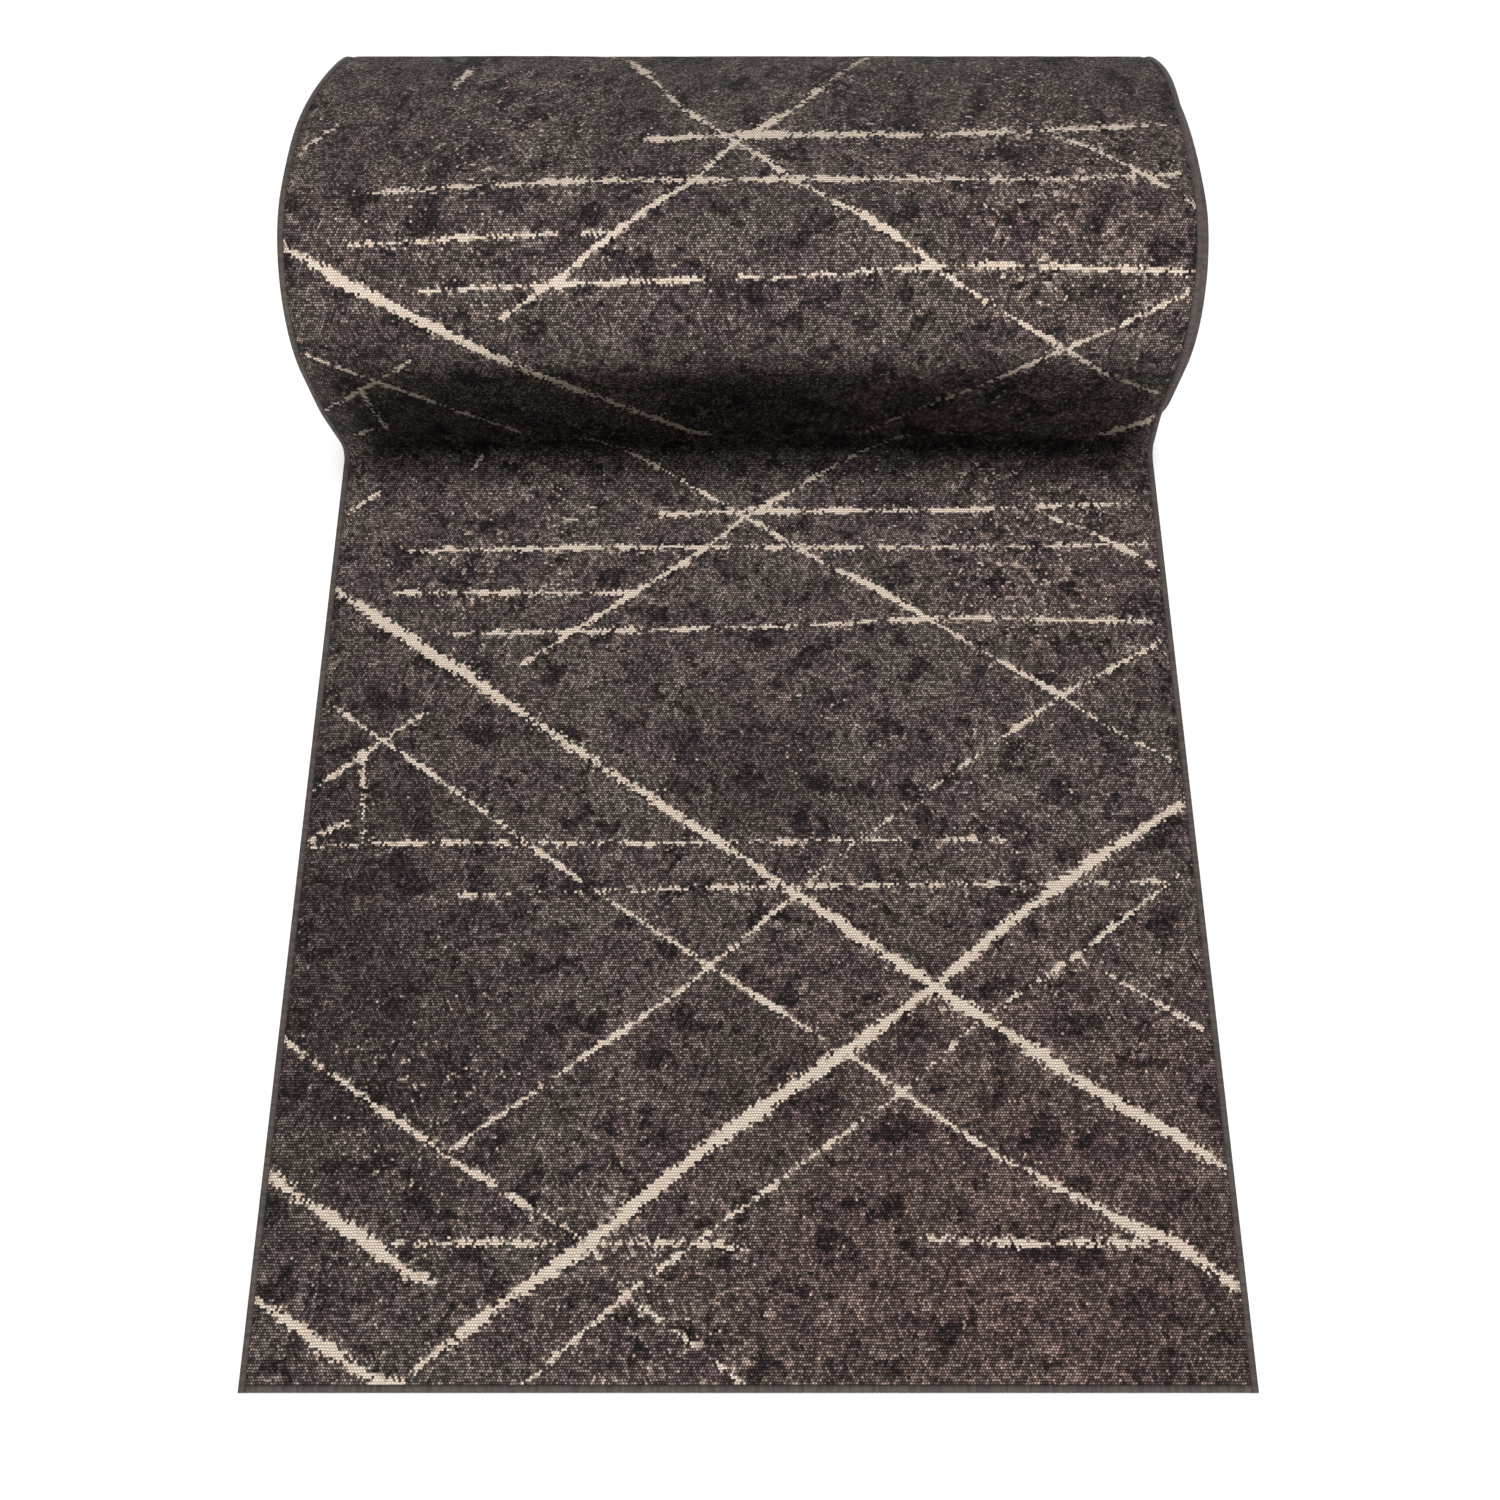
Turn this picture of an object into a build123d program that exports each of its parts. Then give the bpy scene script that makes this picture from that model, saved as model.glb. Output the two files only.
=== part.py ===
"""A runner rug, 0.90 m by 5.00 m, lying flat at its front and loosely rolled up at its far end.

The rug is a flexible laminate. From the floor up it is a felt backing, a coat of latex, a woven
primary backing and a loop pile, and its four edges are wrapped in serging yarn. At the crease the
rug turns up off the floor with its pile on the inside of the bend, climbs as the roll's front
wall, and then winds away from the pile, so the roll wears its pile outside.

Axes: X across the rug, Y along it from the front cut end towards the roll, Z up from the floor.
The origin is on the floor at the middle of the whole object's box.
"""

from build123d import *
import math
import os

# Cut size, mm.
RUG_WIDTH = 900.0
RUG_LENGTH = 5000.0

# Thickness of each layer, mm.
FELT = 1.2
LATEX = 0.7
PRIMARY = 0.5
PILE = 5.0

# Serging: the band that it covers, how far it stands outside the cut backing, and its height.
SERGING_BAND = 7.0
SERGING_WALL = 1.5
SERGING_HEIGHT = 7.0

# The route of the rug seen from its side. Radii are those of the pile's face.
FLAT_RUN = 948.0
CREASE_RADIUS = 13.0
FRONT_DROP = 128.0
BROW_RADIUS, BROW_TURN = 122.0, 93.0
CROWN_RADIUS, CROWN_TURN = 500.0, 34.0
BACK_RADIUS = 98.0
TOE_RADIUS = 90.0
TURN_GAP = 1.6
TURNS = 4

# Heights above the rug's own underside.
FELT_TOP = FELT
LATEX_TOP = FELT_TOP + LATEX
PRIMARY_TOP = LATEX_TOP + PRIMARY
PILE_TOP = PRIMARY_TOP + PILE
CUT_HEIGHT = (LATEX_TOP + PRIMARY_TOP) / 2  # lengths along the rug are measured in the weave

# Each turn of the roll lies this far inside the one before it.
PITCH = PILE_TOP + TURN_GAP


def arc_step(radius, heading, turn):
    """Move made by a bend of this radius, from a heading, in degrees, turning away from the pile."""
    before = math.radians(heading)
    after = math.radians(heading - turn)
    along = radius * (math.sin(before) - math.sin(after))
    up = radius * (math.cos(after) - math.cos(before))
    return along, up


def upper_half_size():
    """How far the roll's upper half reaches back, and how far it comes down, brow to back."""
    back_turn = 180.0 - BROW_TURN - CROWN_TURN
    heading = 90.0
    along = 0.0
    up = 0.0
    bends = [(BROW_RADIUS, BROW_TURN), (CROWN_RADIUS, CROWN_TURN), (BACK_RADIUS, back_turn)]
    for radius, turn in bends:
        step = arc_step(radius, heading, turn)
        along += step[0]
        up += step[1]
        heading -= turn
    return along, up


ROLL_DEPTH, ROLL_FALL = upper_half_size()
FRONT_TANGENT_Z = PILE_TOP + CREASE_RADIUS + FRONT_DROP
BACK_TANGENT_Z = FRONT_TANGENT_Z + ROLL_FALL

# The lower half of each turn is half a pitch inside its upper half, and as much further back,
# so the heel and the toe are drawn that much larger to stand the first turn on the floor.
HEEL_OUTER = BACK_TANGENT_Z + PITCH / 2
TOE_OUTER = TOE_RADIUS + PITCH / 2
BOTTOM_RUN = ROLL_DEPTH - HEEL_OUTER - TOE_OUTER
FRONT_RUN = FRONT_TANGENT_Z - TOE_RADIUS

OBJECT_DEPTH = FLAT_RUN + CREASE_RADIUS + ROLL_DEPTH
FRONT_END_Y = -OBJECT_DEPTH / 2


def run(length):
    """A straight stretch of the route."""
    return {"length": length, "turn": 0.0, "radius": 0.0}


def bend(radius, turn):
    """A bend. A positive turn, in degrees, is towards the pile, and radius is the pile's face."""
    return {"length": 0.0, "turn": turn, "radius": radius}


def make_route():
    """The stretches of the rug in order, from its front cut end to past its inner end."""
    route = [run(FLAT_RUN), bend(CREASE_RADIUS, 90.0), run(FRONT_DROP)]
    back_turn = 180.0 - BROW_TURN - CROWN_TURN
    for number in range(TURNS):
        upper = number * PITCH
        lower = upper + PITCH / 2
        route += [
            bend(BROW_RADIUS - upper, -BROW_TURN),
            bend(CROWN_RADIUS - upper, -CROWN_TURN),
            bend(BACK_RADIUS - upper, -back_turn),
            bend(HEEL_OUTER - lower, -90.0),
            run(BOTTOM_RUN),
            bend(TOE_OUTER - lower, -90.0),
            run(FRONT_RUN),
        ]
    return route


ROUTE = make_route()


def radius_at(stretch, height):
    """The radius of a bend at a height above the rug's underside."""
    below_face = PILE_TOP - height
    if stretch["turn"] > 0:
        return stretch["radius"] + below_face
    return stretch["radius"] - below_face


def stretch_length(stretch):
    """The length of a stretch, measured in the weave of the backing."""
    if stretch["turn"] == 0:
        return stretch["length"]
    return radius_at(stretch, CUT_HEIGHT) * math.radians(abs(stretch["turn"]))


def move(pen, heading, stretch, height, share):
    """Where a line at this height has got to, and its heading, after a share of the stretch."""
    ahead = Vector(math.cos(heading), math.sin(heading))
    if stretch["turn"] == 0:
        return pen + ahead * stretch["length"] * share, heading
    side = math.copysign(1.0, stretch["turn"])
    radius = radius_at(stretch, height)
    turned = heading + math.radians(stretch["turn"]) * share
    centre = pen + Vector(-ahead.Y, ahead.X) * side * radius
    arm = Vector(math.sin(turned), -math.cos(turned)) * side * radius
    return centre + arm, turned


def line_along(height, start, end):
    """Edges of the line at a height above the underside, between two distances along the rug."""
    pen = Vector(FRONT_END_Y, height)
    heading = 0.0
    passed = 0.0
    edges = []
    for stretch in ROUTE:
        length = stretch_length(stretch)
        first = min(max((start - passed) / length, 0.0), 1.0)
        last = min(max((end - passed) / length, 0.0), 1.0)
        if last > first:
            begin, tangent = move(pen, heading, stretch, height, first)
            finish, _ = move(pen, heading, stretch, height, last)
            if stretch["turn"] == 0:
                edges.append(Line(begin, finish))
            else:
                ahead = Vector(math.cos(tangent), math.sin(tangent))
                turn = stretch["turn"] * (last - first)
                edges.append(JernArc(begin, ahead, radius_at(stretch, height), turn))
        pen, heading = move(pen, heading, stretch, height, 1.0)
        passed += length
    return edges


def strip(low, high, start, end, left, right):
    """A layer between two heights, two distances along the rug and two places across it."""
    under = line_along(low, start, end)
    over = line_along(high, start, end)
    near_end = Line(under[0] @ 0, over[0] @ 0)
    far_end = Line(under[-1] @ 1, over[-1] @ 1)
    section = make_face(under + over + [near_end, far_end])
    return Pos(left, 0, 0) * extrude(Plane.YZ * section, right - left)


HALF = RUG_WIDTH / 2
FIELD = HALF - SERGING_BAND  # half the width that the pile and the felt cover
WEAVE = HALF - SERGING_WALL  # half the width that the backings under the pile cover
FIELD_END = RUG_LENGTH - SERGING_BAND
WEAVE_END = RUG_LENGTH - SERGING_WALL


def make_field_layer(low, high):
    """A layer that stops at the inner side of the serging."""
    return strip(low, high, SERGING_BAND, FIELD_END, -FIELD, FIELD)


def make_weave_layer(low, high):
    """A layer that runs on into the serging, which wraps its edge."""
    return strip(low, high, SERGING_WALL, WEAVE_END, -WEAVE, WEAVE)


def make_side_serging(side):
    """Serging on a long edge: a wall outside the weave with a lip above and a lip below it."""
    outer = sorted([side * WEAVE, side * HALF])
    lips = sorted([side * FIELD, side * WEAVE])
    wall = strip(0.0, SERGING_HEIGHT, 0.0, RUG_LENGTH, *outer)
    top_lip = strip(PRIMARY_TOP, SERGING_HEIGHT, 0.0, RUG_LENGTH, *lips)
    bottom_lip = strip(0.0, FELT_TOP, 0.0, RUG_LENGTH, *lips)
    return wall + top_lip + bottom_lip


def make_end_serging(outer, weave, field):
    """Serging on a cut end, between the two side sergings. Its three places are along the rug."""
    wall = strip(0.0, SERGING_HEIGHT, *sorted([outer, weave]), -FIELD, FIELD)
    top_lip = strip(PRIMARY_TOP, SERGING_HEIGHT, *sorted([weave, field]), -FIELD, FIELD)
    bottom_lip = strip(0.0, FELT_TOP, *sorted([weave, field]), -FIELD, FIELD)
    return wall + top_lip + bottom_lip


PARTS = {
    "felt_backing": make_field_layer(0.0, FELT_TOP),
    "latex_coat": make_weave_layer(FELT_TOP, LATEX_TOP),
    "primary_backing": make_weave_layer(LATEX_TOP, PRIMARY_TOP),
    "pile": make_field_layer(PRIMARY_TOP, PILE_TOP),
    "serging_left": make_side_serging(-1),
    "serging_right": make_side_serging(1),
    "serging_front_end": make_end_serging(0.0, SERGING_WALL, SERGING_BAND),
    "serging_inner_end": make_end_serging(RUG_LENGTH, WEAVE_END, FIELD_END),
}

os.makedirs("parts", exist_ok=True)
for name, shape in PARTS.items():
    export_step(shape, "parts/" + name + ".step")

ROUTE_LENGTH = sum(stretch_length(stretch) for stretch in ROUTE)
print("route drawn for", round(ROUTE_LENGTH), "mm, rug cut at", round(RUG_LENGTH), "mm")
print("depth", round(OBJECT_DEPTH, 1), "front tangent", round(FRONT_TANGENT_Z, 1))
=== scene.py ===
"""Looks of a runner rug: loop pile, felt underside, latex and weave between them, serged edges.

The rug lies flat at its front end and is loosely rolled up at its far end. Every layer follows one
route, the rug seen from its side, which repeats the design's stretches in metres. Distances along
the rug are measured in the weave of the backing, and heights from the rug's own underside.
"""

import functools
import math

import bpy
import numpy as np
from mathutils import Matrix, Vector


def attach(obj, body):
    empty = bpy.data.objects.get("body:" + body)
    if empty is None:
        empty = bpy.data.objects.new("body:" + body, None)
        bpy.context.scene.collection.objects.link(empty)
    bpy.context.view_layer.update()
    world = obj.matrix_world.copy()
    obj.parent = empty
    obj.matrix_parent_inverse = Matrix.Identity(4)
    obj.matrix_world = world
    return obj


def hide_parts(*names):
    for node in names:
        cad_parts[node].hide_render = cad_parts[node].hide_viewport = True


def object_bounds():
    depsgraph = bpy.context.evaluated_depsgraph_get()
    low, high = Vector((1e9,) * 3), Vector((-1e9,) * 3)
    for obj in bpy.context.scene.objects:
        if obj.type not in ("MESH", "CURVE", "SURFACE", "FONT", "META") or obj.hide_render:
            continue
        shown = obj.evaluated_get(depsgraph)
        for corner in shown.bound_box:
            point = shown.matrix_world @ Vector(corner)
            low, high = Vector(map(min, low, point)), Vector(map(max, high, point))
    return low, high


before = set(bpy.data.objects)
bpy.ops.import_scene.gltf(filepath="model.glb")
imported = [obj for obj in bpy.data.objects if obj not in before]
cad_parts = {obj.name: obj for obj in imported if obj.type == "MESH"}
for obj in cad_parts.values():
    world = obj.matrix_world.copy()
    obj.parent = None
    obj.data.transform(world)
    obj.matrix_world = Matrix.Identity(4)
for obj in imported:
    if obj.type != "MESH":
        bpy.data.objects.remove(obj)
CAD_LOW, CAD_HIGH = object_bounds()

bl_info = {
    "name": "Runner rug",
    "version": (1, 0, 0),
    "blender": (4, 5, 0),
    "location": "3D View > Sidebar > Rug",
    "description": "Builds a half rolled loop-pile runner rug around its CAD frame",
    "category": "Add Mesh",
}

MM = 0.001
PACKED_WIDTH = CAD_HIGH.x - CAD_LOW.x


# --- Settings ---------------------------------------------------------------------------------


class RugSizes(bpy.types.PropertyGroup):
    """Sizes of the rug's layers and of its edge binding."""

    width: bpy.props.FloatProperty(
        name="Width", description="Cut width of the rug", default=PACKED_WIDTH, unit="LENGTH"
    )
    length: bpy.props.FloatProperty(
        name="Length", description="Cut length of the rug", default=5.0, unit="LENGTH"
    )
    felt_top: bpy.props.FloatProperty(
        name="Felt", description="Height of the felt's upper face", default=1.2 * MM, unit="LENGTH"
    )
    primary_top: bpy.props.FloatProperty(
        name="Weave", description="Height of the primary backing", default=2.4 * MM, unit="LENGTH"
    )
    pile_top: bpy.props.FloatProperty(
        name="Pile", description="Height of the loops' tops", default=7.4 * MM, unit="LENGTH"
    )
    band: bpy.props.FloatProperty(
        name="Serging band", description="Width of the serged edge", default=7.0 * MM, unit="LENGTH"
    )
    wrap: bpy.props.FloatProperty(
        name="Wrap pitch", description="From one yarn wrap to the next", default=2.6 * MM, unit="LENGTH"
    )
    gauge: bpy.props.FloatProperty(
        name="Gauge", description="From one row of loops to the next", default=2.54 * MM, unit="LENGTH"
    )


class RugRoute(bpy.types.PropertyGroup):
    """The rug's path seen from its side. Radii are those of the pile's face."""

    flat: bpy.props.FloatProperty(
        name="Flat run", description="Flat on the floor, from the front end", default=0.948, unit="LENGTH"
    )
    crease: bpy.props.FloatProperty(
        name="Crease", description="Radius where the rug turns up", default=0.013, unit="LENGTH"
    )
    drop: bpy.props.FloatProperty(
        name="Front wall", description="Straight wall above the crease", default=0.128, unit="LENGTH"
    )
    brow: bpy.props.FloatProperty(
        name="Brow", description="Radius over the front wall", default=0.122, unit="LENGTH"
    )
    brow_turn: bpy.props.FloatProperty(
        name="Brow turn", description="How far the brow turns", default=math.radians(93), unit="ROTATION"
    )
    crown: bpy.props.FloatProperty(
        name="Crown", description="Radius of the roll's top", default=0.5, unit="LENGTH"
    )
    crown_turn: bpy.props.FloatProperty(
        name="Crown turn", description="How far the crown turns", default=math.radians(34), unit="ROTATION"
    )
    back: bpy.props.FloatProperty(
        name="Back", description="Radius of the roll's back", default=0.098, unit="LENGTH"
    )
    toe: bpy.props.FloatProperty(
        name="Toe", description="Radius under the front wall", default=0.09, unit="LENGTH"
    )
    gap: bpy.props.FloatProperty(
        name="Gap", description="Room between one turn and the next", default=1.6 * MM, unit="LENGTH"
    )
    turns: bpy.props.IntProperty(name="Turns", description="Turns of the roll", default=4)
    skew: bpy.props.FloatProperty(
        name="Skew", description="Sideways drift of the outer turn", default=0.008, unit="LENGTH"
    )


class RugColours(bpy.types.PropertyGroup):
    """Colours of the yarns and backings."""

    ground: bpy.props.StringProperty(
        name="Ground", description="Charcoal brown of the pile", default="#7D6E68"
    )
    plum: bpy.props.StringProperty(
        name="Plum", description="Darker plum patches", default="#605253"
    )
    olive: bpy.props.StringProperty(
        name="Olive", description="Greyer olive patches", default="#776E63"
    )
    cream: bpy.props.StringProperty(
        name="Cream", description="Lines of the pattern", default="#EAD9C6"
    )
    serging: bpy.props.StringProperty(
        name="Serging", description="Edge yarn", default="#3B322F"
    )
    felt: bpy.props.StringProperty(
        name="Felt", description="Needled felt underside", default="#8A857C"
    )
    latex: bpy.props.StringProperty(
        name="Latex", description="Latex coat", default="#C9C2AE"
    )
    weave: bpy.props.StringProperty(
        name="Weave", description="Primary backing", default="#7B746A"
    )


def sizes():
    return bpy.context.scene.rug_sizes


def colours():
    return bpy.context.scene.rug_colours


# --- The route of the rug ---------------------------------------------------------------------


def make_route():
    """Stretches of the rug in order: length in the weave, turn and radius of the pile's face."""
    way = bpy.context.scene.rug_route
    size = sizes()
    below_face = size.pile_top - weave_height()
    pitch = size.pile_top + way.gap
    back_turn = math.pi - way.brow_turn - way.crown_turn

    def run(length):
        return length, 0.0

    def bend(radius, turn):
        side = math.copysign(1.0, turn)
        return (radius + side * below_face) * abs(turn), turn

    depth, fall = 0.0, 0.0
    heading = math.pi / 2
    outer_bends = [(way.brow, way.brow_turn), (way.crown, way.crown_turn), (way.back, back_turn)]
    for radius, turn in outer_bends:
        depth += radius * (math.sin(heading) - math.sin(heading - turn))
        fall += radius * (math.cos(heading - turn) - math.cos(heading))
        heading -= turn
    front_tangent = size.pile_top + way.crease + way.drop
    heel = front_tangent + fall + pitch / 2
    toe = way.toe + pitch / 2
    bottom = depth - heel - toe
    front = front_tangent - way.toe

    route = [run(way.flat), bend(way.crease, math.pi / 2), run(way.drop)]
    for number in range(way.turns):
        upper = number * pitch
        lower = upper + pitch / 2
        route += [
            bend(way.brow - upper, -way.brow_turn),
            bend(way.crown - upper, -way.crown_turn),
            bend(way.back - upper, -back_turn),
            bend(heel - lower, -math.pi / 2),
            run(bottom),
            bend(toe - lower, -math.pi / 2),
            run(front),
        ]
    return route


def weave_height():
    """The height at which distances along the rug are measured."""
    return sizes().primary_top - 0.25 * MM


def follow(along):
    """Place (y, z) of the weave and the rug's heading at each distance along the rug."""
    along = np.asarray(along, float)
    y = np.zeros_like(along)
    z = np.zeros_like(along)
    heading = np.zeros_like(along)
    pen = np.array([CAD_LOW.y, weave_height()])
    angle = 0.0
    passed = 0.0
    for length, turn in make_route():
        inside = along >= passed
        done = along[inside] - passed
        turned = angle + turn * done / length
        if turn == 0:
            y[inside] = pen[0] + math.cos(angle) * done
            z[inside] = pen[1] + math.sin(angle) * done
        else:
            radius = length / turn
            y[inside] = pen[0] + radius * (np.sin(turned) - math.sin(angle))
            z[inside] = pen[1] - radius * (np.cos(turned) - math.cos(angle))
        heading[inside] = turned
        end = angle + turn
        if turn == 0:
            pen = pen + length * np.array([math.cos(angle), math.sin(angle)])
        else:
            step = [math.sin(end) - math.sin(angle), math.cos(angle) - math.cos(end)]
            pen = pen + (length / turn) * np.array(step)
        angle = end
        passed += length
    return y, z, heading


def skew(along):
    """How far the outer turn has been wound to one side of the flat part, above the crease."""
    way = bpy.context.scene.rug_route
    rise, hold, settle = way.flat, way.flat + 0.1, way.flat + 0.42
    level_off = way.flat + 0.6
    up = np.clip((along - rise) / (hold - rise), 0, 1)
    down = np.clip((level_off - along) / (level_off - settle), 0, 1)
    share = np.minimum(up, down)
    return -way.skew * share * share * (3 - 2 * share)


def lay(across, along, height):
    """Points of the laid rug, for places across it, along it and above its underside."""
    y, z, heading = follow(along)
    lift = height - weave_height()
    return np.stack(
        [across + skew(along), y - np.sin(heading) * lift, z + np.cos(heading) * lift], axis=-1
    )


def ripple(across, along, seed, reach):
    """A smooth, even-handed wander between -1 and 1 over a distance of about reach."""
    draw = np.random.default_rng(seed)
    total = np.zeros(np.broadcast(across, along).shape)
    waves = 9
    for _ in range(waves):
        direction = draw.uniform(0, 2 * math.pi)
        stride = 2 * math.pi / (reach * draw.uniform(0.6, 1.8))
        phase = draw.uniform(0, 2 * math.pi)
        total += np.sin(stride * (math.cos(direction) * across + math.sin(direction) * along) + phase)
    return total / math.sqrt(waves)


# --- Mesh building ----------------------------------------------------------------------------


def grid_faces(rows, columns, first=0, flip=False):
    """Quads of a grid whose vertices are numbered row by row."""
    corner = (np.arange(rows - 1)[:, None] * columns + np.arange(columns - 1)[None, :]).ravel() + first
    quad = np.stack([corner, corner + 1, corner + columns + 1, corner + columns], axis=1)
    return quad[:, ::-1] if flip else quad


def make_object(name, points, faces):
    """A smooth mesh object from an array of points and a list of faces."""
    mesh = bpy.data.meshes.new(name)
    mesh.from_pydata(points.tolist(), [], faces)
    mesh.validate()
    mesh.update()
    mesh.polygons.foreach_set("use_smooth", [True] * len(mesh.polygons))
    made = bpy.data.objects.new(name, mesh)
    bpy.context.scene.collection.objects.link(made)
    return made


def steps(start, end, step):
    """Even places from start to end, about a step apart."""
    return np.linspace(start, end, max(2, round((end - start) / step) + 1))


def set_uv(made, across, along):
    """Gives each corner its place on the rug, in metres, for the patterns."""
    layer = made.data.uv_layers.new(name="Rug")
    index = np.empty(len(made.data.loops), np.int32)
    made.data.loops.foreach_get("vertex_index", index)
    flat = np.stack([across[index], along[index]], axis=1).astype(np.float32)
    layer.data.foreach_set("uv", flat.ravel())


def make_layer(name, low, high, rows, columns, relief=None):
    """A closed thin sheet between two heights, on the given places along and across the rug."""
    x, s = np.meshgrid(columns, rows)
    top = np.full(x.shape, high)
    if relief is not None:
        top = top + relief(x, s)
    upper = lay(x.ravel(), s.ravel(), top.ravel())
    under = lay(x.ravel(), s.ravel(), np.full(x.size, low))
    count_s, count_x = x.shape
    rim = np.concatenate(
        [
            np.arange(count_x),
            np.arange(1, count_s) * count_x + count_x - 1,
            (count_s - 1) * count_x + np.arange(count_x - 2, -1, -1),
            np.arange(count_s - 2, 0, -1) * count_x,
        ]
    )
    following = np.roll(rim, -1)
    walls = np.stack([rim + x.size, following + x.size, following, rim], axis=1)
    faces = np.concatenate(
        [
            grid_faces(count_s, count_x),
            grid_faces(count_s, count_x, x.size, flip=True),
            walls,
        ]
    )
    made = make_object(name, np.concatenate([upper, under]), faces.tolist())
    set_uv(made, np.tile(x.ravel(), 2), np.tile(s.ravel(), 2))
    return made


# --- Materials --------------------------------------------------------------------------------


def linear(code):
    """Linear colour of an sRGB hex value."""
    channels = [int(code[i : i + 2], 16) / 255 for i in (1, 3, 5)]
    return [c / 12.92 if c <= 0.04045 else ((c + 0.055) / 1.055) ** 2.4 for c in channels] + [1.0]


def add(tree, kind, settings=None, **inputs):
    """Adds a node. Inputs are given as i0, i1 or by name, as a value or as the socket to link."""
    made = tree.nodes.new(kind)
    for name, value in (settings or {}).items():
        setattr(made, name, value)
    for name, value in inputs.items():
        socket = made.inputs[int(name[1:])] if name[1:].isdigit() else made.inputs[name.replace("_", " ")]
        if isinstance(value, bpy.types.NodeSocket):
            tree.links.new(value, socket)
        else:
            socket.default_value = value
    return made


def new_material(name):
    """An empty node material and its tree, shader and the shader's link to the output."""
    made = bpy.data.materials.new(name)
    made.use_nodes = True
    tree = made.node_tree
    tree.nodes.clear()
    shader = add(tree, "ShaderNodeBsdfPrincipled")
    add(tree, "ShaderNodeOutputMaterial", i0=shader.outputs[0])
    return made, tree, shader


def sum_of(tree, first, second, operation="ADD", third=None, kind="ShaderNodeMath"):
    """The result socket of one sum."""
    inputs = {"i0": first, "i1": second}
    if third is not None:
        inputs["i2"] = third
    return add(tree, kind, {"operation": operation}, **inputs).outputs[0]


def vector_sum(tree, first, second, operation="ADD", third=None):
    """The result socket of one sum of vectors."""
    return sum_of(tree, first, second, operation, third, "ShaderNodeVectorMath")


def gather(tree, values, operation):
    """One value from several, by the same sum taken in turn."""
    return functools.reduce(lambda first, second: sum_of(tree, first, second, operation), values)


def axis(tree, vector, number):
    """One axis of a place on the rug: 0 is across it and 1 is along it."""
    return add(tree, "ShaderNodeSeparateXYZ", i0=vector).outputs[number]


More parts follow.
